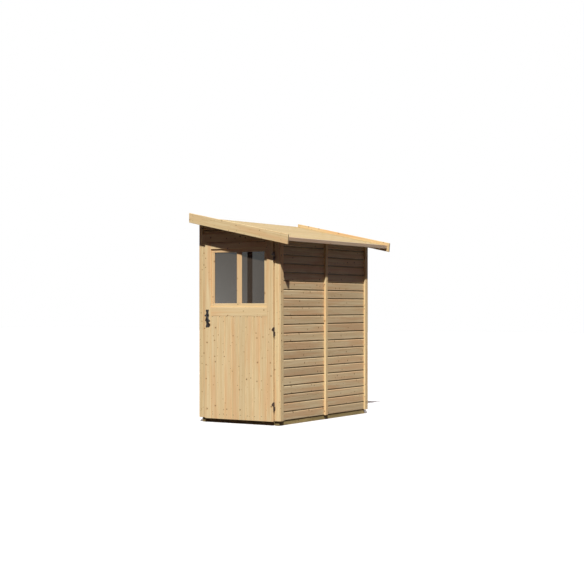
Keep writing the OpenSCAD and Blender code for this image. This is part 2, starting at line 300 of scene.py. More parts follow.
def wood(name, light, dark, knot, pink=0.35, ring=0.004, ring_amt=0.35, knots=0.62, knot_r=0.0037, cells=14.0, vary=0.10,
         rough=0.55, weather=0.0, gloss=0.3, end_dark=0.62, edge_wear_highlight_tone=1.06, gain=1.0):
    """Softwood by its own grain coordinates: growth rings about a pith line, fibre, soft streaks and knots."""
    m = bpy.data.materials.new(name)
    N = Nodes(m)
    g3 = (0.98 * gain, 1.045 * gain, 1.115 * gain)

    def lin(c):
        return tuple(a * b for a, b in zip(srgb(c), g3)) + (1.0,)

    gc = N.attr("gc").outputs["Vector"]
    rn = N.attr("rnd").outputs["Vector"]
    kind = N.attr("kind").outputs["Fac"]
    u, v, w = N.sep(gc)
    r1, r2, r3 = N.sep(rn)
    off = N.vmath("SCALE", rn)
    off.node.inputs["Scale"].default_value = 41.0
    g = N.vmath("ADD", gc, off)                     # coordinates of this board's own patch of noise
    gu, gv, gw = N.sep(g)

    # knots: cells in the plane of the board
    kv = N.new("ShaderNodeTexVoronoi", voronoi_dimensions="2D", feature="F1")
    kvec = N.comb(N.math("MULTIPLY", gu, cells), N.math("MULTIPLY", N.math("ADD", gv, gw), cells), 0.0)
    N.link(kvec, kv.inputs["Vector"])
    kv.inputs["Scale"].default_value = 1.0
    d = N.math("DIVIDE", kv.outputs["Distance"], cells)
    kr, kg, kb = N.sep(kv.outputs["Color"])
    keep = N.math("LESS_THAN", kr, knots)
    rad = N.math("MULTIPLY", N.math("ADD", N.math("MULTIPLY", N.math("MULTIPLY", kg, kg), 1.25), 0.45), knot_r)
    wob = N.math("MULTIPLY", N.math("SUBTRACT", N.noise(g, 260.0, 2.0), 0.5), 0.0022)
    dd = N.math("ADD", d, wob)
    rel = N.math("DIVIDE", dd, rad)                 # 1 at the knot's edge
    kmask = N.math("MULTIPLY", N.remap(rel, 1.12, 0.80), keep)
    kring = N.math("MULTIPLY", N.math("MULTIPLY", N.remap(rel, 0.55, 0.95), N.remap(rel, 1.25, 0.98)), keep)
    khalo = N.math("MULTIPLY", N.remap(rel, 3.4, 0.9), keep)

    # growth rings about a pith line that wanders along the board, pushed aside by each knot
    wander = N.noise(N.comb(N.math("MULTIPLY", gu, 1.1), r1, 5.0), 1.0, 2.0)
    wv = N.math("MULTIPLY", N.math("SUBTRACT", wander, 0.5), 0.075)
    pv = N.math("ADD", N.math("SUBTRACT", v, N.math("MULTIPLY", N.math("SUBTRACT", r1, 0.5), 0.09)), wv)
    pw = N.math("ADD", w, N.math("ADD", N.math("MULTIPLY", r2, 0.07), 0.022))
    rr = N.math("SQRT", N.math("ADD", N.math("MULTIPLY", pv, pv), N.math("MULTIPLY", pw, pw)))
    fine = N.noise(N.comb(N.math("MULTIPLY", gu, 7.0), N.math("MULTIPLY", gv, 55.0), N.math("MULTIPLY", gw, 55.0)), 1.0, 3.0)
    rr = N.math("ADD", rr, N.math("MULTIPLY", N.math("SUBTRACT", fine, 0.5), 0.0045))
    rr = N.math("ADD", rr, N.math("MULTIPLY", khalo, N.math("MULTIPLY", rad, 0.9)))
    ph = N.math("FRACT", N.math("DIVIDE", rr, N.math("MULTIPLY", N.math("ADD", N.math("MULTIPLY", r3, 0.7), 0.7), ring)))
    late = N.math("MULTIPLY", N.remap(ph, 0.25, 0.86), N.remap(ph, 1.0, 0.9))

    # long soft streaks and fine fibre
    streak = N.noise(N.comb(N.math("MULTIPLY", gu, 1.6), N.math("MULTIPLY", gv, 48.0), N.math("MULTIPLY", gw, 48.0)), 1.0, 3.0, 0.55)
    broad = N.noise(N.comb(N.math("MULTIPLY", gu, 1.3), N.math("MULTIPLY", gv, 15.0), N.math("MULTIPLY", gw, 15.0)), 1.0, 2.0)
    fibre = N.noise(N.comb(N.math("MULTIPLY", gu, 26.0), N.math("MULTIPLY", gv, 900.0), N.math("MULTIPLY", gw, 900.0)), 1.0, 3.0, 0.6)
    pore = N.noise(N.comb(N.math("MULTIPLY", gu, 90.0), N.math("MULTIPLY", gv, 2400.0), N.math("MULTIPLY", gw, 2400.0)), 1.0, 1.0)

    tone = N.math("ADD", N.math("MULTIPLY", late, ring_amt), N.math("MULTIPLY", N.remap(streak, 0.32, 0.72), 0.38))
    tone = N.math("ADD", tone, N.math("MULTIPLY", N.remap(fibre, 0.3, 0.75), 0.12), clamp=True)
    col = N.mix(tone, lin(light), lin(dark))
    pinkc = tuple(min(1, a * b) for a, b in zip(lin(dark), (1.16, 0.93, 0.90, 1)))
    col = N.mix(N.math("MULTIPLY", N.remap(broad, 0.42, 0.66), pink), col, pinkc)
    halo = N.math("MULTIPLY", khalo, 0.30)
    col = N.mix(halo, col, tuple(a * b for a, b in zip(lin(dark), (0.86, 0.72, 0.55, 1))))
    col = N.mix(N.math("MULTIPLY", kmask, 0.88), col, N.mix(N.remap(fine, 0.3, 0.7), lin(knot), tuple(a * 1.7 for a in lin(knot)[:3]) + (1,)))
    col = N.mix(N.math("MULTIPLY", kring, 0.55), col, tuple(a * 0.5 for a in lin(knot)[:3]) + (1,))
    # each board differs a little in value
    val = N.math("ADD", N.math("MULTIPLY", N.math("SUBTRACT", r3, 0.5), 2 * vary), 1.0)
    endg = N.remap(kind, 0.75, 0.95)
    # small rounded edges (kind 0.2 to 0.45) are made lighter: partly wear, partly a painted highlight
    edge = N.math("MULTIPLY", N.remap(kind, 0.2, 0.45), N.math("SUBTRACT", 1.0, endg))
    val = N.math("MULTIPLY", val, N.math("ADD", N.math("MULTIPLY", edge, edge_wear_highlight_tone - 1.0), 1.0))
    val = N.math("MULTIPLY", val, N.math("SUBTRACT", 1.0, N.math("MULTIPLY", endg, 1.0 - end_dark)))
    painted_groove_shade = N.math("MULTIPLY", N.remap(kind, 0.12, 0.14), N.remap(kind, 0.18, 0.16))     # painted shade: faces deep in a groove (kind 0.15) are made darker, standing in for the shade there
    val = N.math("MULTIPLY", val, N.math("SUBTRACT", 1.0, N.math("MULTIPLY", painted_groove_shade, 0.48)))
    if weather > 0:
        blot = N.noise(N.comb(N.math("MULTIPLY", gu, 3.0), N.math("MULTIPLY", gv, 9.0), N.math("MULTIPLY", gw, 9.0)), 1.0, 4.0, 0.6)
        val = N.math("MULTIPLY", val, N.remap(blot, 0.3, 0.7, 1.0 - weather, 1.0 + weather * 0.5))
    out = N.vmath("SCALE", col)
    N.link(val, out.node.inputs["Scale"])
    bs = N.new("ShaderNodeBsdfPrincipled")
    N.link(out, bs.inputs["Base Color"])
    rg = N.math("ADD", N.math("MULTIPLY", fibre, 0.22), rough - 0.1)
    rg = N.math("SUBTRACT", rg, N.math("MULTIPLY", kmask, 0.12))
    N.link(rg, bs.inputs["Roughness"])
    bs.inputs["Specular IOR Level"].default_value = gloss
    h = N.math("ADD", N.math("MULTIPLY", fibre, 0.5), N.math("MULTIPLY", late, 0.5))
    h = N.math("ADD", h, N.math("MULTIPLY", pore, 0.2))
    h = N.math("ADD", h, N.math("MULTIPLY", kring, -0.8))
    bump = N.new("ShaderNodeBump")
    bump.inputs["Strength"].default_value = 0.45
    bump.inputs["Distance"].default_value = 0.0006
    N.link(h, bump.inputs["Height"])
    N.link(bump.outputs[0], bs.inputs["Normal"])
    o = N.new("ShaderNodeOutputMaterial")
    N.link(bs.outputs[0], o.inputs["Surface"])
    return m


M_TRIM = wood("trim_wood", (230, 201, 150), (204, 164, 108), (104, 62, 32), pink=0.38)
M_WALL = wood("wall_wood", (226, 198, 152), (196, 156, 106), (92, 54, 30), pink=0.42, vary=0.09, gain=0.965, knots=0.45)
M_DOOR = wood("door_wood", (232, 203, 153), (208, 167, 111), (106, 64, 34), pink=0.42, vary=0.05)
M_ROOF = wood("roof_wood", (230, 201, 136), (205, 160, 90), (100, 60, 30), pink=0.30, vary=0.035, gain=0.66, gloss=0.15, ring_amt=0.28, knots=0.4)
M_EAVE = wood("eave_wood", (228, 198, 164), (198, 158, 122), (96, 58, 34), pink=0.35, vary=0.03, gain=0.70, knots=0.35)
M_FRAME = wood("frame_wood", (206, 172, 124), (172, 128, 80), (92, 54, 28), pink=0.3, vary=0.08, rough=0.68, weather=0.06)
M_FLOOR = wood("floor_wood", (214, 184, 136), (184, 142, 92), (98, 58, 30), pink=0.3, vary=0.08, rough=0.66)
M_TREAT = wood("treated_wood", (205, 177, 118), (142, 116, 70), (70, 52, 30), pink=0.10, vary=0.10, rough=0.75, weather=0.30, gloss=0.2)


def metal(name, base, rough, speck=0.25, grain=220.0, metallic=0.0, bump=0.35, wear=(70, 66, 62)):
    m = bpy.data.materials.new(name)
    N = Nodes(m)
    tc = N.new("ShaderNodeTexCoord").outputs["Object"]
    n1 = N.noise(tc, grain, 3.0, 0.6)
    n2 = N.noise(tc, 35.0, 3.0, 0.6)
    geo = N.new("ShaderNodeNewGeometry")
    point = N.remap(geo.outputs["Pointiness"], 0.515, 0.58)
    col = N.mix(N.math("MULTIPLY", N.remap(n2, 0.35, 0.75), speck), lin(base), tuple(a * 1.8 for a in lin(base)[:3]) + (1,))
    col = N.mix(N.math("MULTIPLY", point, N.remap(n2, 0.4, 0.62, 0.0, 0.5)), col, lin(wear))
    bs = N.new("ShaderNodeBsdfPrincipled")
    N.link(col, bs.inputs["Base Color"])
    N.link(N.remap(n1, 0.2, 0.8, rough - 0.08, rough + 0.12), bs.inputs["Roughness"])
    bs.inputs["Metallic"].default_value = metallic
    bump_n = N.new("ShaderNodeBump")
    bump_n.inputs["Strength"].default_value = bump
    bump_n.inputs["Distance"].default_value = 0.0003
    N.link(n1, bump_n.inputs["Height"])
    N.link(bump_n.outputs[0], bs.inputs["Normal"])
    o = N.new("ShaderNodeOutputMaterial")
    N.link(bs.outputs[0], o.inputs["Surface"])
    return m


M_BLACK = metal("black_coat", (20, 17, 18), 0.5)
M_BROWN = metal("brown_coat", (56, 38, 26), 0.5, wear=(96, 76, 58))
M_LOCK = metal("lock_coat", (58, 58, 58), 0.4, metallic=0.6)
M_NAIL = metal("nail_steel", (70, 48, 32), 0.55, metallic=0.2, wear=(100, 84, 70))


def pane():
    """Smoke-tinted sheet: what lies behind shows darkly, under a faint film of dust. It lets more through towards the
    lower left and less towards the top right: painted reflection and painted shade.
    """
    m = bpy.data.materials.new("tinted_pane")
    N = Nodes(m)
    tc = N.new("ShaderNodeTexCoord").outputs["Object"]
    x, y, z = N.sep(tc)
    haze = N.noise(tc, 3.5, 3.0, 0.55)
    dust = N.noise(tc, 420.0, 2.0, 0.6)
    # painted light: the sheet is made clearer towards the bottom and the left, in place of reflection and of the roof's
    # shade at the top
    painted_light_low = N.remap(z, 1.75, 1.15, 0.0, 1.0, False)
    painted_light_left = N.remap(x, 0.35, -0.35, 0.0, 1.0, False)
    painted_light_amount = N.math("ADD", N.math("MULTIPLY", N.math("MULTIPLY", painted_light_low, painted_light_left), 0.16), N.math("MULTIPLY", painted_light_left, 0.04))
    tint = N.math("ADD", N.math("ADD", painted_light_amount, 0.335), N.math("MULTIPLY", N.math("SUBTRACT", haze, 0.5), 0.03))
    tr = N.new("ShaderNodeBsdfTransparent")
    N.link(N.comb(tint, N.math("MULTIPLY", tint, 1.02), tint), tr.inputs["Color"])
    df = N.new("ShaderNodeBsdfPrincipled")
    N.link(N.mix(N.remap(dust, 0.35, 0.8), lin((111, 97, 84)), lin((118, 104, 91))), df.inputs["Base Color"])
    N.link(N.remap(haze, 0.3, 0.7, 0.10, 0.18), df.inputs["Roughness"])
    df.inputs["Specular IOR Level"].default_value = 0.45
    mx = N.new("ShaderNodeMixShader")
    mx.inputs[0].default_value = 0.30
    N.link(tr.outputs[0], mx.inputs[1])
    N.link(df.outputs[0], mx.inputs[2])
    o = N.new("ShaderNodeOutputMaterial")
    N.link(mx.outputs[0], o.inputs["Surface"])
    return m


M_PANE = pane()


# ------------------------------------------------------------------ base and floor
b = Build("base_timbers_cross", 11)
lo, hi = B("base_cross_timbers")
for (ya, yb) in ((lo.y, lo.y + 0.045), (hi.y - 0.045, hi.y)):
    timber(b, (lo.x, ya, lo.z), (hi.x, yb, hi.z), "x", r=0.003)
b.finish(M_TREAT, "shed", ["base_cross_timbers"])

b = Build("base_timbers_long", 12)
clo, chi = lo, hi
lo, hi = B("base_runners")
for xa in (lo.x, hi.x - 0.045):
    timber(b, (xa, lo.y, lo.z), (xa + 0.045, hi.y, hi.z), "y", r=0.003)
timber(b, (-0.0225, clo.y + 0.045, lo.z), (0.0225, chi.y - 0.045, hi.z), "y", r=0.003)
b.finish(M_TREAT, "shed", ["base_runners"])

b = Build("floor_planks", 13)
lo, hi = B("floor_boards")
n = 10
wd = (hi.x - lo.x) / n
for i in range(n):
    timber(b, (lo.x + i * wd + 0.0004, lo.y, lo.z), (lo.x + (i + 1) * wd - 0.0004, hi.y, hi.z), "y", r=0.0022)
b.finish(M_FLOOR, "shed", ["floor_boards"])


# ------------------------------------------------------------------ tongued wall boards
def shiplap(h, t, lip=0.0056, bevel=0.0126, dp=0.0080, slot=0.0013, back=0.0108):
    """One board's section: v up the wall, w outwards. Its lower edge has a short lip and its upper edge a long bevel."""
    pts = [(0, 0), (0, t - back), (slot, t - dp), (lip, t - 0.0003), (lip + 0.0010, t), (h - bevel - 0.0014, t), (h - bevel, t - 0.0004),
           (h - 0.55 * bevel, t - 0.5 * dp), (h - slot, t - dp), (h, t - back), (h, 0)]
    # kind 0.15 marks the faces deep in the groove, which wood() paints darker as painted shade; 0.3 marks small rounded
    # edges, painted lighter as wear and as a painted highlight
    kinds = [0, 0.15, 0.15, 0.3, 0, 0.3, 0.1, 0.15, 0.15, 0, 0]
    # counter-clockwise about U, so the run starts at the back and goes up the far side
    return list(reversed(pts)), [kinds[(len(pts) - 2 - i) % len(pts)] for i in range(len(pts))]


BH = 0.0865


def clip_plane(ob, co, no):
    """Cuts away what lies beyond a plane and closes the cut."""
    import bmesh
    bm = bmesh.new()
    bm.from_mesh(ob.data)
    res = bmesh.ops.bisect_plane(bm, geom=bm.verts[:] + bm.edges[:] + bm.faces[:], plane_co=co, plane_no=no, clear_outer=True)
    edges = [e for e in bm.edges if e.is_boundary]
    if edges:
        bmesh.ops.holes_fill(bm, edges=edges, sides=0)
    bm.to_mesh(ob.data)
    bm.free()
    ob.data.update()


def eave_panel(name, node, seed):
    b = Build(name, seed)
    lo, hi = B(node)
    prof, kinds = shiplap(BH, hi.x - lo.x)
    k = 0
    z = lo.z
    while z < hi.z - 0.004:
        h = min(BH, hi.z - z)
        p, kd = (prof, kinds) if h > BH - 1e-5 else shiplap(h, hi.x - lo.x)
        # U = +Y, V = +Z, W = +X : right-handed about Y needs (V x W) = U
        b.prism(p, Vector((lo.x, lo.y, z)), Y, Z, X, 0.0004, hi.y - lo.y - 0.0004, bow=0.0005, kinds=kd, step=0.12)
        z += BH
        k += 1
    return b.finish(M_WALL, "shed", [node])


eave_panel("eave_wall_boards_front", "eave_wall_front", 21)
eave_panel("eave_wall_boards_rear", "eave_wall_rear", 22)


def deck_top(x):
    """Top of the deck at x, from the CAD deck."""
    lo, hi = B("roof_deck")
    return hi.z - FALL * (x - lo.x)


DT = 0.018 / COS

# rear wall: V = +Z, W = +Y (outwards), U = -X so that V x W = Z x Y = -X
b = Build("rear_wall_boards", 23)
lo, hi = B("rear_wall")
prof, kinds = shiplap(BH, hi.y - lo.y)
z = lo.z
while z < hi.z:
    b.prism(prof, Vector((hi.x, lo.y, z)), -X, Z, Y, 0.0, hi.x - lo.x, bow=0.0005, kinds=kinds, step=0.12)
    z += BH
ob = b.finish(M_WALL, "shed", ["rear_wall"])
clip_plane(ob, (lo.x, lo.y, hi.z), Vector((FALL, 0, 1)).normalized())

# boards over the door: W = -Y (outwards), V = +Z, U = V x W = Z x -Y = +X
b = Build("door_head_boards", 24)
lo, hi = B("front_gable")
prof, kinds = shiplap(BH, hi.y - lo.y)
z = 0.046 + BH * 20
while z < hi.z:
    end = hi.x - 0.045 if z < 1.83 else hi.x
    b.prism(prof, Vector((lo.x, hi.y, z)), X, Z, -Y, 0.0, end - lo.x, bow=0.0005, kinds=kinds, step=0.12)
    z += BH
ob = b.finish(M_WALL, "shed", ["front_gable"])
clip_plane(ob, (lo.x, lo.y, hi.z), Vector((FALL, 0, 1)).normalized())
clip_plane(ob, (lo.x, lo.y, lo.z), Vector((0, 0, -1)))


# ------------------------------------------------------------------ trim boards
def roof_cut(z_at):
    """Returns z_at unchanged; the far ends of upright boards are cut to the roof's slope by clip_plane."""
    return z_at


def flat_board(b, lo, hi, axis, face, r=0.003, **kw):
    timber(b, lo, hi, axis, r=r, **kw)


under = lambda x: deck_top(x) - DT - 0.001

# header board over the door
b = Build("header_plank", 31)
lo, hi = B("header_board")
timber(b, (lo.x, lo.y, lo.z), (hi.x, hi.y, hi.z), "x", r=0.003)
ob = b.finish(M_TRIM, "shed", ["header_board"])
clip_plane(ob, (0.472, 0, under(0.472)), Vector((FALL, 0, 1)).normalized())

# strips beside the door
b = Build("front_corner_planks", 32)
lo, hi = B("front_strips")
x0, x1 = lo.x, hi.x
dlo, dhi = B("door_stiles")
timber(b, (x0, lo.y, lo.z), (x0 + 0.0445, hi.y, hi.z), "z", r=0.003)
timber(b, (x0 + 0.0449, lo.y, lo.z), (dlo.x - 0.006, hi.y, dhi.z + 0.006), "z", r=0.0025)
timber(b, (dhi.x + 0.009, lo.y, lo.z), (x1, hi.y, dhi.z + 0.006), "z", r=0.003)
ob = b.finish(M_TRIM, "shed", ["front_strips"])
clip_plane(ob, (x0, 0, under(x0)), Vector((FALL, 0, 1)).normalized())

b = Build("side_corner_planks", 33)
lo, hi = B("side_corner_strips")
for (ya, yb) in ((lo.y, lo.y + 0.061), (hi.y - 0.061, hi.y)):
    timber(b, (lo.x, ya, lo.z), (hi.x, yb, hi.z), "z", r=0.003)
b.finish(M_TRIM, "shed", ["side_corner_strips"])

b = Build("side_joint_batten", 34)
lo, hi = B("side_batten")
timber(b, lo, hi, "z", r=0.003)
b.finish(M_TRIM, "shed", ["side_batten"])

b = Build("rear_corner_planks", 35)
lo, hi = B("rear_strips")
timber(b, (lo.x, lo.y, lo.z), (lo.x + 0.082, hi.y, hi.z), "z", r=0.003)
timber(b, (dhi.x + 0.009, lo.y, lo.z), (hi.x, hi.y, 1.861), "z", r=0.003)
ob = b.finish(M_TRIM, "shed", ["rear_strips"])
clip_plane(ob, (lo.x, 0, under(lo.x)), Vector((FALL, 0, 1)).normalized())


# ------------------------------------------------------------------ frame
def rect_nodes(name, node, seed, boxes, axis, mat=None, body="shed"):
    b = Build(name, seed)
    for (p, q) in boxes:
        timber(b, p, q, axis, r=0.002)
    return b.finish(mat or M_FRAME, body, [node])


lo, hi = B("corner_posts")
pt = B("top_plates")[0].z
rect_nodes("eave_corner_posts", "corner_posts", 41,
           [((hi.x - 0.045, lo.y, lo.z), (hi.x, lo.y + 0.045, pt)), ((hi.x - 0.045, hi.y - 0.045, lo.z), (hi.x, hi.y, pt)),
            ((lo.x, lo.y, 0.099), (hi.x - 0.0448, lo.y + 0.024, hi.z - 0.0005))], "z")
lo, hi = B("house_side_posts")
rect_nodes("open_side_posts", "house_side_posts", 42,
           [((lo.x, lo.y, lo.z), (hi.x, lo.y + 0.045, hi.z)), ((lo.x, -0.017, lo.z), (hi.x, 0.017, hi.z)),
            ((lo.x, hi.y - 0.045, lo.z), (hi.x, hi.y, hi.z))], "z")
lo, hi = B("side_wall_studs")
clo, chi = B("corner_posts")
rlo, rhi = B("rear_head_rail")
rect_nodes("wall_studs", "side_wall_studs", 43,
           [((chi.x - 0.045, -0.035, lo.z), (chi.x, -0.001, pt)), ((chi.x - 0.045, 0.001, lo.z), (chi.x, 0.035, pt)),
            ((-0.017, rlo.y, lo.z), (0.017, rhi.y, rlo.z))], "z")
lo, hi = B("sill_rails")
rect_nodes("long_sills", "sill_rails", 44,
           [((lo.x, lo.y, lo.z), (lo.x + 0.045, hi.y, hi.z)), ((chi.x - 0.045, lo.y + 0.045, lo.z), (chi.x, hi.y - 0.045, hi.z))], "y")
for (nm, node, sd) in (("back_sill", "rear_sill", 45), ("front_sill", "door_sill", 46), ("front_head", "front_head_rail", 47), ("back_head", "rear_head_rail", 48)):
    lo, hi = B(node)
    rect_nodes(nm, node, sd, [(lo, hi)], "x")

# wall plates, planed to the slope
b = Build("wall_plates", 49)
lo, hi = B("top_plates")
for xa in (lo.x, hi.x - 0.045):
    xb = xa + 0.045
    zt = hi.z - FALL * (xb - lo.x)
    zb = zt - 0.045
    prof = [(0, 0), (zt + FALL * 0.045 - zb, 0), (zt - zb, 0.045), (0, 0.045)]
    # V = up, W = +X, U = +Y
    b.prism([(v, w) for (v, w) in prof], Vector((xa, lo.y, zb)), Y, Z, X, 0, hi.y - lo.y, kinds=[0, 0, 0, 0])
b.finish(M_FRAME, "shed", ["top_plates"])

# rafters, cut plumb at both ends
b = Build("roof_rafters", 50)
lo, hi = B("rafters")
top = hi.z
tail = 0.472                                       # the tails are cut level outside the wall
RH = 0.046 * COS
for yc in (lo.y, -0.017, hi.y - 0.034):
    prof = round_rect(0, 0.034, 0, RH, 0.002)
    U, V, W = Vector((COS, 0, -SIN)), Y, Vector((SIN, 0, COS))
    O = Vector((lo.x, yc, top)) - W * RH
    b.prism(prof, O, U, V, W, 0, (tail - 0.001 - lo.x) / COS, kinds=kinds_of(prof, 0.002),
            cut0=lambda v, w: (RH - w) * FALL, cut1=lambda v, w: (RH - w) * FALL)
    b.start()
    zt = lambda x: top - FALL * (x - lo.x)
    zb = zt(tail) - 0.046
    ring = []
    shape = [(tail - 0.006, zb + 0.0003), (hi.x, zb + 0.0003), (hi.x, zt(hi.x) - 0.0003), (tail - 0.006, zt(tail - 0.006) - 0.0003)]
    for y in (yc + 0.0005, yc + 0.0335):
        ring.append([b.vert(Vector((x, y, z))) for (x, z) in shape])
    gcs = [[((Vector((x, 0, z)) - O).dot(U), y - 0.017, (Vector((x, 0, z)) - O).dot(W) - RH / 2) for (x, z) in shape] for y in (0.0005, 0.0335)]
    for k in range(4):
        j = (k + 1) % 4
        b.face((ring[1][k], ring[1][j], ring[0][j], ring[0][k]), (gcs[1][k], gcs[1][j], gcs[0][j], gcs[0][k]), 1.0 if k == 1 else 0.0)
    b.face(tuple(ring[0]), gcs[0])
    b.face(tuple(reversed(ring[1])), list(reversed(gcs[1])))
ob = b.finish(M_FRAME, "shed", ["rafters"])

# ------------------------------------------------------------------ roof deck, boards along the shed
b = Build("deck_planks", 51)
lo, hi = B("roof_deck")
U, V, W = Y, Vector((COS, 0, -SIN)), Vector((SIN, 0, COS))
total = (hi.x - lo.x) / COS
n = 10
wd = total / n
for i in range(n):
    t = 0.018
    ch, dp = 0.004, 0.0035
    prof = [(0.0, 0.0), (0.0, t - 0.006), (0.0005, t - dp), (ch, t), (wd - ch, t), (wd - 0.0005, t - dp), (wd, t - 0.006), (wd, 0.0)]
    prof = list(reversed(prof))
    O = Vector((lo.x, lo.y, hi.z)) - W * t + V * (wd * i)
    b.prism(prof, O, U, -V if False else V, W, 0.0, hi.y - lo.y, bow=0.0006, kinds=None, step=0.13)
ob = b.finish(M_ROOF, "shed", ["roof_deck"])
clip_plane(ob, (lo.x, 0, 0), (-1, 0, 0))
clip_plane(ob, (hi.x, 0, 0), (1, 0, 0))

# strip that closes the deck's edge at the eave
b = Build("eave_edge_strip", 52)
lo, hi = B("eave_strip")
timber(b, (lo.x, lo.y, lo.z), (hi.x, hi.y, hi.z - 0.0005), "y", r=0.002)
ob = b.finish(M_EAVE, "shed", ["eave_strip"])
clip_plane(ob, (lo.x, 0, hi.z), Vector((FALL, 0, 1)).normalized())


def barge(name, node, seed, skin0=0.0, skin1=0.0):
    b = Build(name, seed)
    lo, hi = B(node)
    lo.y += skin0
    hi.y -= skin1
    U, W = Vector((COS, 0, -SIN)), -Y
    V = Vector((SIN, 0, COS))
    # U x V = -Y for this choice, so W = -Y keeps the run counter-clockwise
    h = 0.0989 * COS
    L = (hi.x - lo.x) / COS
    prof = round_rect(0, h, 0, hi.y - lo.y, 0.0035)
    O = Vector((lo.x, hi.y, hi.z)) - V * h
    b.prism(prof, O, U, V, W, 0.0, L, bow=0.0004, kinds=kinds_of(prof, 0.0035), step=0.10,
            cut0=lambda v, w: (h - v) * FALL, cut1=lambda v, w: -(h - v) * (0.09 - FALL) - 0.0)
    ob = b.finish(M_TRIM, "shed", [node])
    clip_plane(ob, (lo.x, 0, 0), (-1, 0, 0))
    clip_plane(ob, (hi.x, 0, 0), (1, 0, 0))
    return ob


barge("front_barge_plank", "front_bargeboard", 53, skin0=0.0006)
barge("rear_barge_plank", "rear_bargeboard", 54, skin1=0.0006)

# ------------------------------------------------------------------ door leaf
slo, shi = B("door_stiles")
SW = 0.073
b = Build("door_side_planks", 61)
for (xa, xb) in ((slo.x, slo.x + SW), (shi.x - SW, shi.x)):
    timber(b, (xa, slo.y, slo.z), (xb, shi.y, shi.z), "z", r=0.003)
b.finish(M_DOOR, "door", ["door_stiles"])
for (nm, node, sd) in (("door_top_plank", "door_top_rail", 62), ("door_middle_plank", "door_lock_rail", 63)):
    b = Build(nm, sd)
    lo, hi = B(node)
    timber(b, lo, hi, "x", r=0.003)
    b.finish(M_DOOR, "door", [node])

b = Build("door_upright_boards", 64)
lo, hi = B("door_boards")
n = 8
wd = (hi.x - lo.x) / n
t = hi.y - lo.y
for i in range(n):
    ch, dp = 0.0030, 0.0026
    prof = [(0, 0), (wd, 0), (wd, t - 0.005), (wd - 0.0004, t - dp), (wd - ch, t), (ch, t), (0.0004, t - dp), (0, t - 0.005)]
    # kind 0.3 on the chamfers: painted a little lighter, as wear and as a painted highlight
    kd = [0, 0, 0, 0.3, 0, 0.3, 0, 0]
    # U = up, V = +X, W = -Y (outwards): V x W = X x -Y = -Z, so the run is turned round
    b.prism(list(reversed(prof)), Vector((lo.x + i * wd, hi.y, lo.z)), Z, X, -Y, 0.0, hi.z - lo.z, bow=0.0006, step=0.10,
            kinds=[kd[(len(prof) - 2 - j) % len(prof)] for j in range(len(prof))])
b.finish(M_DOOR, "door", ["door_boards"])

b = Build("door_back_ledges", 65)
lo, hi = B("door_ledges")
for (za, zb) in ((lo.z, lo.z + 0.09), (hi.z - 0.09, hi.z)):
    timber(b, (lo.x, lo.y, za), (hi.x, hi.y, zb), "x", r=0.003)
b.finish(M_FRAME, "door", ["door_ledges"])

b = Build("pane_frame_uprights", 66)
lo, hi = B("window_jambs")
jw = 0.036
for (xa, xb) in ((lo.x, lo.x + jw), (hi.x - jw, hi.x)):
    timber(b, (xa, lo.y, lo.z), (xb, hi.y, hi.z), "z", r=0.003)
b.finish(M_DOOR, "door", ["window_jambs"])
b = Build("pane_frame_rails", 67)
lo, hi = B("window_rails")
for (za, zb) in ((lo.z, lo.z + jw), (hi.z - jw, hi.z)):
    timber(b, (lo.x, lo.y, za), (hi.x, hi.y, zb), "x", r=0.003)
b.finish(M_DOOR, "door", ["window_rails"])
b = Build("pane_frame_bar", 68)
lo, hi = B("window_bar")
timber(b, lo, hi, "z", r=0.007)
b.finish(M_DOOR, "door", ["window_bar"])

b = Build("pane_sheets", 69)
lo, hi = B("window_panes")
blo, bhi = B("window_bar")
for (xa, xb) in ((lo.x, blo.x), (bhi.x, hi.x)):
    timber(b, (xa, lo.y, lo.z), (xb, hi.y, hi.z), "z", r=0.0008, bow=0.0)
b.finish(M_PANE, "door", ["window_panes"])


# ------------------------------------------------------------------ ironwork
def lathe(b, O, U, profile, seg=32, smooth=True):
    """A turned shape: profile is (u, r) along U from O."""
    b.start()
    U = U.normalized()
    A = U.orthogonal().normalized()
    C = U.cross(A)
    rings = []
    for (u, r) in profile:
        rings.append([b.vert(O + U * u + (A * math.cos(2 * math.pi * k / seg) + C * math.sin(2 * math.pi * k / seg)) * r) for k in range(seg)])
    g = (0, 0, 0)
    for i in range(len(rings) - 1):
        for k in range(seg):
            j = (k + 1) % seg
            b.face((rings[i][k], rings[i][j], rings[i + 1][j], rings[i + 1][k]), (g, g, g, g), 0.0, smooth)
    b.face(tuple(reversed(rings[0])), (g,) * seg, 0.0)
    b.face(tuple(rings[-1]), (g,) * seg, 0.0)


def tube(b, pts, radii, seg=20):
    """A smooth bar through pts with a radius at each."""
    b.start()
    rings = []
    for i, p in enumerate(pts):
        a = pts[max(0, i - 1)]
        c = pts[min(len(pts) - 1, i + 1)]
        T = (c - a).normalized()
        A = T.cross(Y)
        if A.length < 0.2:
            A = T.cross(X)
        A.normalize()
        C = T.cross(A)
        rings.append([b.vert(p + (A * math.cos(2 * math.pi * k / seg) + C * math.sin(2 * math.pi * k / seg)) * radii[i]) for k in range(seg)])
    g = (0, 0, 0)
    for i in range(len(rings) - 1):
        for k in range(seg):
            j = (k + 1) % seg
            b.face((rings[i][k], rings[i][j], rings[i + 1][j], rings[i + 1][k]), (g, g, g, g), 0.0, True)
    b.face(tuple(reversed(rings[0])), (g,) * seg, 0.0)
    b.face(tuple(rings[-1]), (g,) * seg, 0.0)


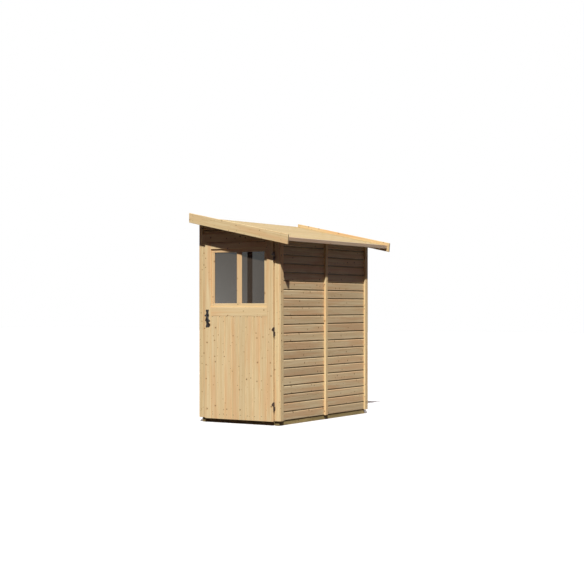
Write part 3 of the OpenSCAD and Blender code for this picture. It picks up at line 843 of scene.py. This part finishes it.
plo, phi = B("handle_plate")
HX, HZ = (plo.x + phi.x) / 2, 1.084
DF = slo.y                                          # outer face of the door leaf
b = Build("handle_back_plate", 71)
b.start()
half = [(0.0190, 1.1430), (0.0186, 1.1330), (0.0170, 1.1260), (0.0145, 1.1170), (0.0140, 1.1060), (0.0205, 1.0900), (0.0205, 1.0780), (0.0140, 1.0640),
        (0.0140, 1.0460), (0.0175, 1.0340), (0.0175, 1.0230), (0.0140, 1.0120), (0.0140, 0.9930), (0.0148, 0.9870), (0.0172, 0.9810), (0.0186, 0.9740), (0.0190, 0.9640)]
outline = [(-x, z) for (x, z) in half] + [(x, z) for (x, z) in reversed(half)]
cxm, czm = 0.0, (1.143 + 0.964) / 2
rings = []
for (dy, s) in ((0.0, 0.0), (-0.0018, 0.0), (-0.0030, 0.0012)):
    ring = []
    for (x, z) in outline:
        xx = x - math.copysign(s, x)
        zz = z - math.copysign(s, z - czm)
        ring.append(b.vert(Vector((HX + xx, DF + dy, zz))))
    rings.append(ring)
g = (0, 0, 0)
for i in range(len(rings) - 1):
    for k in range(len(outline)):
        j = (k + 1) % len(outline)
        b.face((rings[i][k], rings[i][j], rings[i + 1][j], rings[i + 1][k]), (g,) * 4, 0.0)
b.face(tuple(rings[-1]), (g,) * len(outline))
b.face(tuple(reversed(rings[0])), (g,) * len(outline))
# collars round the spindle and the keyhole, and the four screws
lathe(b, Vector((HX, DF - 0.002, HZ)), -Y, [(0, 0.0165), (0.0012, 0.0160), (0.0015, 0.0130), (0.0015, 0.0070)])
lathe(b, Vector((HX, DF - 0.002, 1.029)), -Y, [(0, 0.0130), (0.0010, 0.0125), (0.0014, 0.0100), (0.0014, 0.0020)])
for z in (1.134, 1.118, 0.989, 0.973):
    lathe(b, Vector((HX, DF - 0.0025, z)), -Y, [(0, 0.0042), (0.0006, 0.0040), (0.0009, 0.0025), (0.0009, 0.0006)], seg=18)
b.finish(M_BLACK, "door", ["handle_plate"])

b = Build("handle_grip", 72)
ylo, yhi = B("handle_lever")
lathe(b, Vector((HX, DF - 0.0038, HZ)), -Y, [(0, 0.0085), (0.004, 0.0090), (0.010, 0.0074), (0.024, 0.0070), (0.030, 0.0085), (0.034, 0.0088), (0.0375, 0.0065), (0.0385, 0.0030)])
pts, rad = [], []
for i in range(19):
    a = i / 18
    pts.append(Vector((HX + 0.046 * a, DF - 0.035, HZ - 0.055 * a ** 1.6)))
    rad.append(0.0068 - 0.0012 * math.sin(math.pi * a))
tube(b, pts, rad)
prof = [(0.0105 * (1 - math.cos(math.pi * k / 14)), max(0.0008, 0.0105 * math.sin(math.pi * k / 14))) for k in range(15)]
T = (pts[-1] - pts[-2]).normalized()
lathe(b, pts[-1] - T * 0.0105, T, prof, seg=28)
lathe(b, Vector((HX, shi.y - 0.004, HZ)), -Y, [(0, 0.0055), (0.0255, 0.0055)], seg=16)
b.finish(M_BLACK, "lever", ["handle_lever"])

# rim lock inside
b = Build("inner_lock_box", 73)
lo, hi = B("lock_case")
timber(b, lo, hi, "z", r=0.003, bow=0.0)
for (dx, dz) in ((0.008, 0.010), (-0.008, 0.010), (0.008, -0.010), (-0.008, -0.010)):
    px = lo.x + dx if dx > 0 else hi.x + dx
    pz = lo.z + dz if dz > 0 else hi.z + dz
    lathe(b, Vector((px, hi.y - 0.0012, pz)), Y, [(0, 0.0035), (0.0008, 0.0033), (0.0011, 0.0012)], seg=16)
b.finish(M_LOCK, "door", ["lock_case"])

# hinges
PX, PY = 0.423, -0.903
R = 0.007
f_lo, f_hi = B("hinge_barrels_fixed")
bf = Build("hinge_lower_halves", 74)
bd = Build("hinge_upper_halves", 75)
for zc in (0.190, 0.929, 1.672):
    lathe(bf, Vector((PX, PY, zc - 0.043)), Z, [(0, 0.0040), (0.0012, 0.0062), (0.003, 0.0070), (0.0410, 0.0070), (0.0426, 0.0062)])
    lathe(bf, Vector((PX, PY, zc - 0.002)), Z, [(0, 0.0040), (0.034, 0.0040), (0.0348, 0.0030)], seg=20)
    timber(bf, (PX - 0.002, PY + 0.005, zc - 0.041), (PX + 0.010, -0.894, zc - 0.003), "z", r=0.0008, bow=0.0)
    lathe(bd, Vector((PX, PY, zc + 0.0004)), Z, [(0, 0.0062), (0.0016, 0.0070), (0.0395, 0.0070), (0.0416, 0.0062), (0.0426, 0.0040)])
    timber(bd, (0.414, PY - 0.006, zc + 0.003), (0.417, PY + 0.019, zc + 0.041), "z", r=0.0008, bow=0.0)
    bd.start()
    leaf = [(-0.0010, 0.0035), (-0.0010, 0.0385), (-0.0065, 0.0360), (-0.0165, 0.0215), (-0.0185, 0.0150), (-0.0165, 0.0085), (-0.0065, 0.0035)]
    g = (0, 0, 0)
    rings = []
    for (dy, k) in ((0.0, 1.0), (-0.0016, 1.0), (-0.0023, 0.90)):
        rings.append([bd.vert(Vector((0.4185 + (x + 0.008) * k - 0.008, DF + dy, zc + 0.0195 + (z - 0.0195) * k))) for (x, z) in leaf])
    for i in range(2):
        for q in range(len(leaf)):
            j = (q + 1) % len(leaf)
            bd.face((rings[i][q], rings[i][j], rings[i + 1][j], rings[i + 1][q]), (g,) * 4)
    bd.face(tuple(rings[-1]), (g,) * len(leaf))
    bd.face(tuple(reversed(rings[0])), (g,) * len(leaf))
    for (x, z) in ((-0.0055, 0.0300), (-0.0060, 0.0095), (-0.0130, 0.0170)):
        lathe(bd, Vector((0.4185 + x, DF - 0.0018, zc + z)), -Y, [(0, 0.0024), (0.0007, 0.0022), (0.0010, 0.0008)], seg=14)
bf.finish(M_BROWN, "shed", ["hinge_barrels_fixed"])
bd.finish(M_BROWN, "door", ["hinge_barrels_door"])


# ------------------------------------------------------------------ nails
def nails(name, body, spots, r=0.0036, rise=0.0005):
    """Small round heads: each spot is (point on the face, outward direction)."""
    b = Build(name, 81)
    spots = [(Vector(p) + Vector((0.0, 0.0, b.rng.uniform(-0.003, 0.003))), d) for (p, d) in spots]
    for (p, d) in spots:
        lathe(b, Vector(p) - Vector(d) * 0.0008, Vector(d), [(0, r), (0.0008 + rise * 0.4, r), (0.0008 + rise, r * 0.7)], seg=14)
    return b.finish(M_NAIL, body)


lo, hi = B("door_boards")
wd = (hi.x - lo.x) / 8
nails("door_board_nails", "door", [((lo.x + wd * i + 0.023, lo.y, z), (0, -1, 0)) for i in range(8) for z in (1.073, 0.085)])

# screws in the trim: pairs through the bargeboards, singles up the strips and the batten
spots = []
for node, side in (("front_bargeboard", -1), ("rear_bargeboard", 1)):
    lo, hi = B(node)
    yf = lo.y + 0.0006 if side < 0 else hi.y - 0.0006
    for x in (-0.455, -0.19, 0.08, 0.35, 0.60):
        ztop = hi.z - FALL * (x - lo.x)
        for drop in (0.024, 0.072):
            spots.append(((x, yf, ztop - drop), (0, side, 0)))
lo, hi = B("front_strips")
for k in range(6):
    z = 0.11 + 0.335 * k
    spots.append(((lo.x + 0.022, lo.y, z), (0, -1, 0)))
    spots.append(((hi.x - 0.020, lo.y, z), (0, -1, 0)))
lo, hi = B("rear_strips")
for k in range(6):
    z = 0.11 + 0.335 * k
    spots.append(((lo.x + 0.040, hi.y, z), (0, 1, 0)))
    spots.append(((hi.x - 0.022, hi.y, z), (0, 1, 0)))
lo, hi = B("side_corner_strips")
for k in range(6):
    z = 0.12 + 0.33 * k
    spots.append(((hi.x, lo.y + 0.040, z), (1, 0, 0)))
    spots.append(((hi.x, hi.y - 0.030, z), (1, 0, 0)))
lo, hi = B("side_batten")
for k in range(6):
    spots.append(((hi.x, 0.0, 0.12 + 0.33 * k), (1, 0, 0)))
nails("trim_screws", "shed", spots, r=0.0027, rise=0.0004)

# ------------------------------------------------------------------ floor, world and lights
fl = bpy.data.meshes.new("studio_floor")
S = 40
fl.from_pydata([(-S, -S, 0), (S, -S, 0), (S, S, 0), (-S, S, 0)], [], [(0, 1, 2, 3)])
floor = bpy.data.objects.new("studio_floor", fl)
bpy.context.scene.collection.objects.link(floor)
m = bpy.data.materials.new("studio_floor")
N = Nodes(m)
tc = N.new("ShaderNodeTexCoord").outputs["Object"]
nn = N.noise(tc, 2.0, 3.0)
bs = N.new("ShaderNodeBsdfPrincipled")
N.link(N.mix(nn, (0.90, 0.90, 0.895, 1), (0.93, 0.93, 0.925, 1)), bs.inputs["Base Color"])
bs.inputs["Roughness"].default_value = 0.9
bs.inputs["Specular IOR Level"].default_value = 0.1
o = N.new("ShaderNodeOutputMaterial")
N.link(bs.outputs[0], o.inputs["Surface"])
fl.materials.append(m)
floor.visible_diffuse = False

world = bpy.data.worlds.new("Studio")
bpy.context.scene.world = world
world.use_nodes = True
t = world.node_tree
t.nodes.clear()
bg1 = t.nodes.new("ShaderNodeBackground")
bg1.inputs["Color"].default_value = (1.0, 0.71, 0.93, 1)
wtc = t.nodes.new("ShaderNodeTexCoord")
wsep = t.nodes.new("ShaderNodeSeparateXYZ")
wmap = t.nodes.new("ShaderNodeMapRange")
wmap.inputs["From Min"].default_value = -0.15
wmap.inputs["From Max"].default_value = 0.25
wmap.inputs["To Min"].default_value = 0.018
wmap.inputs["To Max"].default_value = 0.084
t.links.new(wtc.outputs["Generated"], wsep.inputs[0])
t.links.new(wsep.outputs["Z"], wmap.inputs["Value"])
t.links.new(wmap.outputs[0], bg1.inputs["Strength"])
bg2 = t.nodes.new("ShaderNodeBackground")
bg2.inputs["Color"].default_value = (1, 1, 1, 1)
bg2.inputs["Strength"].default_value = 1.0
lp = t.nodes.new("ShaderNodeLightPath")
mxw = t.nodes.new("ShaderNodeMixShader")
ow = t.nodes.new("ShaderNodeOutputWorld")
t.links.new(lp.outputs["Is Camera Ray"], mxw.inputs[0])
t.links.new(bg1.outputs[0], mxw.inputs[1])
t.links.new(bg2.outputs[0], mxw.inputs[2])
t.links.new(mxw.outputs[0], ow.inputs["Surface"])



def sun(name, energy, angle, colour, way):
    """A distant lamp whose light travels along way."""
    d = bpy.data.lights.new(name, "SUN")
    d.energy = energy
    d.angle = math.radians(angle)
    d.color = colour
    o = bpy.data.objects.new(name, d)
    bpy.context.scene.collection.objects.link(o)
    o.rotation_euler = Vector(way).to_track_quat("-Z", "Y").to_euler()


sun("Key", 4.8, 1.2, (1.0, 1.0, 1.0), (-0.351, 0.576, -0.738))
sun("Back", 1.7, 70, (1.0, 0.97, 0.94), (0.62, -0.66, -0.42))

bpy.context.scene.view_settings.view_transform = "Standard"
bpy.context.scene.view_settings.look = "None"
